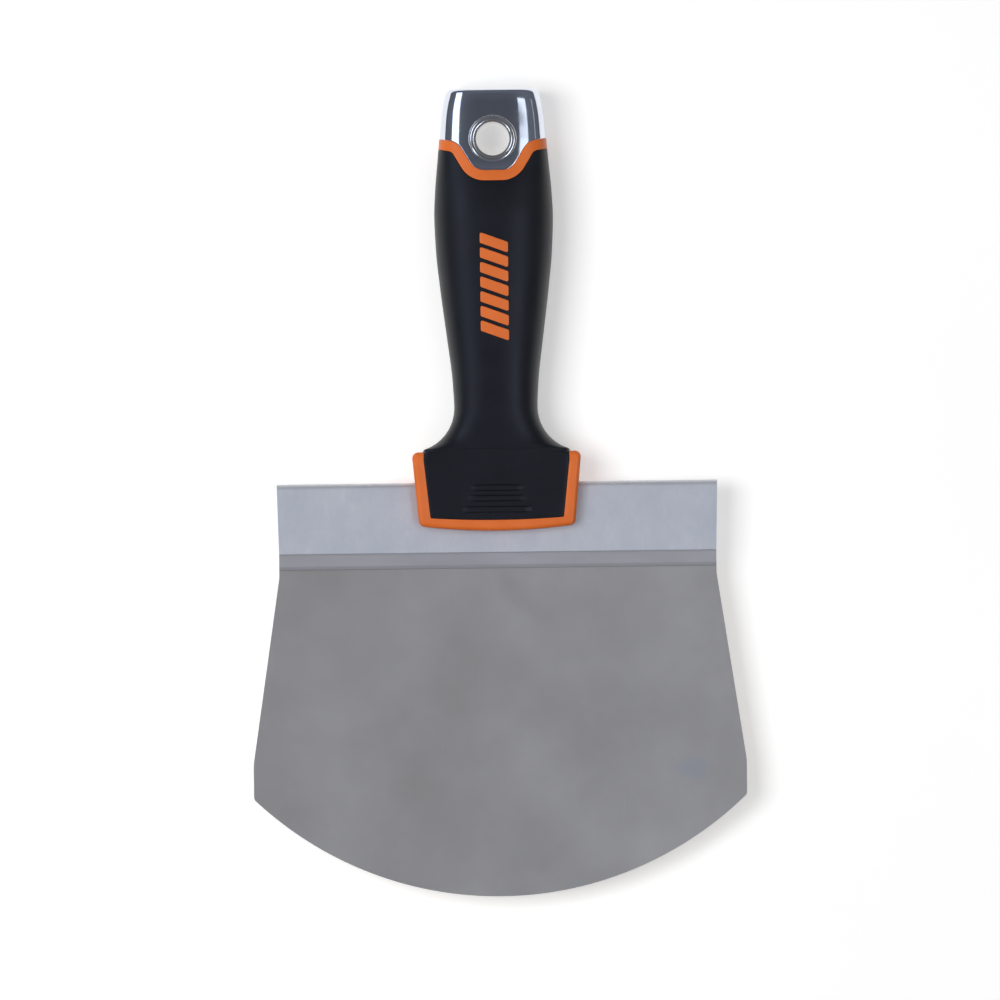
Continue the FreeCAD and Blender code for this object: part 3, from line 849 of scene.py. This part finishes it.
# ================================================================ materials


class Shader:
    """A small helper that builds one material's nodes."""

    def __init__(self, name, source="Object"):
        self.material = bpy.data.materials.new(name)
        self.material.use_nodes = True
        self.tree = self.material.node_tree
        self.bsdf = self.tree.nodes["Principled BSDF"]
        self.coords = self.node("ShaderNodeTexCoord").outputs[source]

    def node(self, kind, **settings):
        made = self.tree.nodes.new(kind)
        for key, value in settings.items():
            setattr(made, key, value)
        return made

    def link(self, a, b):
        self.tree.links.new(a, b)

    def fixed(self, **values):
        """Numbers that are the same all over the surface."""
        names = {
            "metallic": "Metallic",
            "ior": "IOR",
            "specular": "Specular IOR Level",
            "glow": "Emission Strength",
        }
        for key, value in values.items():
            self.bsdf.inputs[names[key]].default_value = value

    def noise(self, scale, detail, stretch=(1, 1, 1), roughness=0.5, distortion=0.0):
        """Noise between 0 and 1, with scale in features per metre."""
        mapping = self.node("ShaderNodeMapping")
        mapping.inputs["Scale"].default_value = stretch
        self.link(self.coords, mapping.inputs["Vector"])
        noise = self.node("ShaderNodeTexNoise")
        noise.inputs["Scale"].default_value = scale
        noise.inputs["Detail"].default_value = detail
        noise.inputs["Roughness"].default_value = roughness
        noise.inputs["Distortion"].default_value = distortion
        self.link(mapping.outputs["Vector"], noise.inputs["Vector"])
        return noise.outputs["Fac"]

    def remap(self, value, low, high, to_low, to_high):
        """A value's range from low to high stretched over another range, and held at its ends."""
        made = self.node("ShaderNodeMapRange")
        for key, number in (("From Min", low), ("From Max", high), ("To Min", to_low), ("To Max", to_high)):
            made.inputs[key].default_value = number
        self.link(value, made.inputs["Value"])
        return made.outputs["Result"]

    def spots(self, noise, low, high):
        """1 where the noise is over high, 0 where it is under low."""
        return self.remap(noise, low, high, 0, 1)

    def vary(self, noise, to_low, to_high):
        """The whole noise stretched between two values."""
        return self.remap(noise, *NOISE_SPAN, to_low, to_high)

    def faint(self, share, most):
        """A share from 0 to 1 brought down to at most this much."""
        return self.remap(share, 0, 1, 0, most)

    def math(self, operation, a, b):
        """The sum or product of two sockets."""
        made = self.node("ShaderNodeMath", operation=operation)
        self.link(a, made.inputs[0])
        self.link(b, made.inputs[1])
        return made.outputs["Value"]

    def mix(self, share, a, b):
        """One colour into another by share, where a colour is three numbers or a socket."""
        made = self.node("ShaderNodeMix", data_type="RGBA")
        self.link(share, made.inputs["Factor"])
        for name, value in (("A", a), ("B", b)):
            target = [s for s in made.inputs if s.name == name and s.type == "RGBA"][0]
            if isinstance(value, tuple):
                target.default_value = (*value, 1.0)
            else:
                self.link(value, target)
        return [s for s in made.outputs if s.type == "RGBA"][0]

    def bump(self, height, distance, strength):
        """Relief of this height in mm."""
        made = self.node("ShaderNodeBump")
        made.inputs["Distance"].default_value = distance * MM
        made.inputs["Strength"].default_value = strength
        self.link(height, made.inputs["Height"])
        return made.outputs["Normal"]

    def done(self, colour, roughness, normal=None):
        """Joins colour, roughness and relief to the surface and gives the finished material."""
        self.link(colour, self.bsdf.inputs["Base Color"])
        self.link(roughness, self.bsdf.inputs["Roughness"])
        if normal is not None:
            self.link(normal, self.bsdf.inputs["Normal"])
        return self.material


def blade_steel():
    """Spring steel, ground across, with faint clouds, brown and blue stains and fine stray scratches."""
    s = Shader("blade_steel", "UV")
    s.fixed(metallic=0.85)
    clouds = s.noise(24, 4, roughness=0.55)
    brown = s.spots(s.noise(17, 3), 0.62, 0.76)
    blue = s.spots(s.noise(31, 2, (0.6, 1, 1)), 0.66, 0.74)
    grind = s.noise(40, 3, (3, 160, 1), roughness=0.7)
    scratches = s.spots(s.noise(30, 2, (60, 1.5, 1), distortion=0.7), 0.70, 0.74)
    colour = s.mix(s.vary(clouds, 0, 1), (0.555, 0.520, 0.480), (0.680, 0.640, 0.600))
    colour = s.mix(s.faint(brown, 0.8), colour, (0.48, 0.438, 0.395))
    colour = s.mix(s.faint(blue, 0.6), colour, (0.50, 0.535, 0.60))
    colour = s.mix(s.faint(scratches, 0.12), colour, (0.76, 0.755, 0.75))
    rough = s.math("ADD", s.vary(clouds, 0.46, 0.49), s.vary(grind, -0.03, 0.03))
    return s.done(colour, rough, s.bump(grind, 0.02, 0.5))


def leaf_steel():
    """Warmer steel with long streaks, and painted shade: a dark line along its free edge."""
    s = Shader("leaf_steel", "UV")
    s.fixed(metallic=0.85)
    clouds = s.noise(45, 4, (0.35, 1, 1), roughness=0.6)
    grind = s.noise(60, 3, (2, 90, 1), roughness=0.7)
    split = s.node("ShaderNodeSeparateXYZ")
    s.link(s.coords, split.inputs["Vector"])
    edge = to_frame((0, LEAF_END, 0))[1]
    # painted shade: the leaf is darkened in a thin line along its free edge, where it lies on the blade
    painted_edge_shade = s.remap(split.outputs["Y"], edge + 0.7 * MM, edge + 1.3 * MM, 1, 0)
    colour = s.mix(s.remap(clouds, 0.35, 0.7, 0, 1), (0.64, 0.603, 0.595), (0.75, 0.712, 0.70))
    colour = s.mix(s.faint(painted_edge_shade, 0.8), colour, (0.52, 0.49, 0.48))
    rough = s.math("ADD", s.vary(clouds, 0.46, 0.52), s.vary(grind, -0.03, 0.03))
    return s.done(colour, rough, s.bump(grind, 0.02, 0.5))


def holder_aluminium():
    """Matt aluminium with soft clouds, fine upright scratches and patches of pale specks."""
    s = Shader("holder_aluminium")
    s.fixed(metallic=0.7)
    clouds = s.noise(55, 4, roughness=0.6)
    fine = s.noise(380, 4, (1, 0.5, 1), roughness=0.65)
    scratches = s.spots(s.noise(260, 2, (4, 0.35, 1)), 0.66, 0.74)
    specks = s.spots(s.noise(1100, 2), 0.66, 0.72)
    patches = s.spots(s.noise(70, 2), 0.5, 0.62)
    crowded = s.math("MULTIPLY", specks, s.remap(patches, 0, 1, 0.1, 0.7))
    colour = s.mix(s.vary(clouds, 0, 1), (0.70, 0.715, 0.765), (0.81, 0.815, 0.84))
    colour = s.mix(s.remap(fine, 0.35, 0.7, 0, 0.3), colour, (0.65, 0.665, 0.71))
    colour = s.mix(s.faint(scratches, 0.3), colour, (0.86, 0.86, 0.875))
    colour = s.mix(crowded, colour, (0.92, 0.89, 0.85))
    rough = s.math("ADD", s.vary(clouds, 0.50, 0.56), s.vary(fine, -0.04, 0.04))
    return s.done(colour, rough, s.bump(fine, 0.04, 0.5))


def plain_metal(name, dark, light, low, high):
    """Mill-finished metal between two shades and two roughnesses."""
    s = Shader(name)
    s.fixed(metallic=1.0)
    clouds = s.noise(300, 4)
    colour = s.mix(s.vary(clouds, 0, 1), dark, light)
    return s.done(colour, s.vary(clouds, low, high), s.bump(s.noise(2500, 2), 0.01, 0.4))


def orange_plastic():
    """Satin moulded plastic with a fine grain."""
    s = Shader("orange_plastic")
    s.fixed(ior=1.49)
    clouds = s.noise(120, 4)
    grain = s.noise(3500, 3)
    colour = s.mix(s.vary(clouds, 0, 1), (0.75, 0.152, 0.017), (0.82, 0.174, 0.021))
    rough = s.math("ADD", s.vary(clouds, 0.36, 0.46), s.vary(grain, -0.04, 0.04))
    return s.done(colour, rough, s.bump(grain, 0.02, 0.35))


def black_rubber():
    """Soft black skin with a dull sheen and a fine grain."""
    s = Shader("black_rubber")
    s.fixed(ior=1.44)
    clouds = s.noise(90, 4)
    grain = s.noise(3200, 4, roughness=0.6)
    colour = s.mix(s.vary(clouds, 0, 1), (0.0044, 0.0051, 0.0082), (0.0058, 0.0067, 0.0105))
    rough = s.math("ADD", s.vary(clouds, 0.41, 0.47), s.vary(grain, -0.04, 0.04))
    return s.done(colour, rough, s.bump(grain, 0.03, 0.4))


def polished(name, dark, light, low):
    """A mirror finish with smudges, hairlines and a slight waviness."""
    s = Shader(name)
    s.fixed(metallic=1.0)
    waves = s.noise(55, 2)
    smudges = s.noise(130, 4, roughness=0.65, distortion=0.5)
    scratches = s.spots(s.noise(150, 3, (1, 30, 1), distortion=0.7), 0.62, 0.72)
    colour = s.mix(s.vary(smudges, 0, 1), dark, light)
    rough = s.math("ADD", s.remap(smudges, 0.35, 0.7, low, low + 0.05), s.faint(scratches, 0.05))
    return s.done(colour, rough, s.bump(waves, 0.5, 0.12))


def floor_material():
    """A matt white table that is lit a little from below."""
    s = Shader("floor")
    s.fixed(specular=0.1, glow=FLOOR_GLOW)
    s.bsdf.inputs["Emission Color"].default_value = (1, 1, 1, 1)
    mottle = s.noise(8, 3)
    colour = s.mix(s.vary(mottle, 0, 1), (0.74, 0.74, 0.74), (0.76, 0.76, 0.76))
    return s.done(colour, s.vary(mottle, 0.75, 0.85))


# ================================================================ stage


def build_floor():
    mesh = bpy.data.meshes.new("floor")
    corners = [(-1, -1), (1, -1), (1, 1), (-1, 1)]
    mesh.from_pydata([(x * FLOOR_SIZE, y * FLOOR_SIZE, 0) for x, y in corners], [], [(0, 1, 2, 3)])
    floor = bpy.data.objects.new("floor", mesh)
    mesh.materials.append(floor_material())
    bpy.context.scene.collection.objects.link(floor)


def softbox(name, place, width, height, radiance, use, colour):
    """An area light used either as a lamp that lights the knife or as a card that it mirrors.

    It faces the knife's axis square on. Its width runs along the knife and its height up and over it.
    """
    data = bpy.data.lights.new(name, "AREA")
    data.shape, data.size, data.size_y = "RECTANGLE", width, height
    data.energy, data.color = radiance * math.pi * width * height, colour
    light = bpy.data.objects.new(name, data)
    light.location = place
    light.rotation_euler = Vector((place[0], 0, place[2])).to_track_quat("Z", "Y").to_euler()
    light.visible_camera = False
    light.visible_diffuse = use == "lamp"
    light.visible_glossy = use == "card"
    bpy.context.scene.collection.objects.link(light)


def build_world():
    """A dim bluish room for the knife to mirror, darkest overhead, and plain pale for the camera."""
    world = bpy.data.worlds.new("studio")
    bpy.context.scene.world = world
    world.use_nodes = True
    world.cycles_visibility.diffuse = False
    nodes, links = world.node_tree.nodes, world.node_tree.links
    coords, split = nodes.new("ShaderNodeTexCoord"), nodes.new("ShaderNodeSeparateXYZ")
    ramp = nodes.new("ShaderNodeValToRGB")
    elements = ramp.color_ramp.elements
    while len(elements) < len(ROOM):
        elements.new(0.5)
    for element, (place, level) in zip(elements, ROOM):
        element.position = place
        element.color = (*(level * tint for tint in ROOM_TINT), 1)
    mirrored, plain = nodes["Background"], nodes.new("ShaderNodeBackground")
    plain.inputs["Color"].default_value = (ROOM_SEEN, ROOM_SEEN, ROOM_SEEN, 1)
    seen, mix = nodes.new("ShaderNodeLightPath"), nodes.new("ShaderNodeMixShader")
    links.new(coords.outputs["Generated"], split.inputs["Vector"])
    links.new(split.outputs["Z"], ramp.inputs["Fac"])
    links.new(ramp.outputs["Color"], mirrored.inputs["Color"])
    links.new(seen.outputs["Is Camera Ray"], mix.inputs["Fac"])
    links.new(mirrored.outputs["Background"], mix.inputs[1])
    links.new(plain.outputs["Background"], mix.inputs[2])
    links.new(mix.outputs["Shader"], nodes["World Output"].inputs["Surface"])


def build_camera():
    """Straight above, a long way off, turned a little so that the knife leans."""
    distance = CAMERA_AT[2] - Z_MID * MM
    data = bpy.data.cameras.new("camera")
    data.sensor_width = SENSOR
    data.lens = SENSOR * distance / VIEW_WIDTH
    data.clip_end = CLIP_END
    camera = bpy.data.objects.new("camera", data)
    camera.location = CAMERA_AT
    camera.rotation_euler = (0, 0, CAMERA_TURN)
    bpy.context.scene.collection.objects.link(camera)
    bpy.context.scene.camera = camera


def refinish(node, material):
    """Gives a node of the CAD model that stays a new material."""
    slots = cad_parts[node].data.materials
    slots.clear()
    slots.append(material)


def main():
    bpy.context.scene.view_settings.view_transform = "Standard"
    orange = orange_plastic()
    chrome = polished("cap_chrome", (0.72, 0.76, 0.84), (0.80, 0.83, 0.90), 0.06)
    nickel = polished("eyelet_nickel", (0.80, 0.775, 0.735), (0.88, 0.855, 0.815), 0.17)
    build_blade(blade_steel())
    build_leaf(leaf_steel())
    build_holder(holder_aluminium())
    build_grip(black_rubber())
    build_band(orange)
    build_collar(orange)
    build_marks(orange)
    build_cap(chrome)
    build_eyelet(nickel)
    rivet = plain_metal("rivet_aluminium", (0.60, 0.61, 0.62), (0.70, 0.71, 0.73), 0.3, 0.45)
    refinish("tang", plain_metal("tang_steel", (0.38, 0.38, 0.39), (0.46, 0.46, 0.47), 0.35, 0.5))
    refinish("blade_rivets", rivet)
    refinish("tang_rivets", rivet)
    build_floor()
    for light in LIGHTS:
        softbox(*light)
    build_world()
    build_camera()


main()
